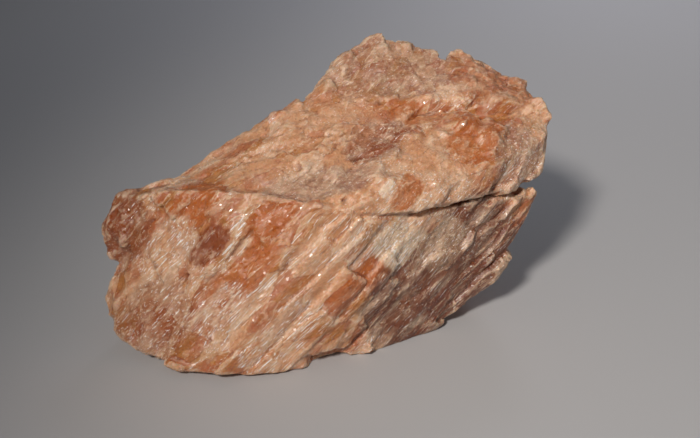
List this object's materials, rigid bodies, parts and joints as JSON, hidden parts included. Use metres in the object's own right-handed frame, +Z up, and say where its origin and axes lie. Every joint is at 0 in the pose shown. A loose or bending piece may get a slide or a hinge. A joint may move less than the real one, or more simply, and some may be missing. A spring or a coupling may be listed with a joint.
{
  "type": "apatite specimen",
  "caption": "Hand-sized lump of massive salmon-orange apatite: slanting bladed body under a thick overhanging slab, resting on a flat broken base.",
  "frame": {"origin": "on the surface the stone rests on, under the middle of its box", "axes": "+X along the stone's length towards the end where the slab overhangs, -Y out of the broad bladed face, +Z up"},
  "size_m": [0.154, 0.0842, 0.0966],
  "materials": {
    "apatite": "glassy to waxy broken crystal, salmon to deep orange with cream streaks"
  },
  "bodies": {
    "root": {"apatite": "apatite"}
  },
  "joints": []
}
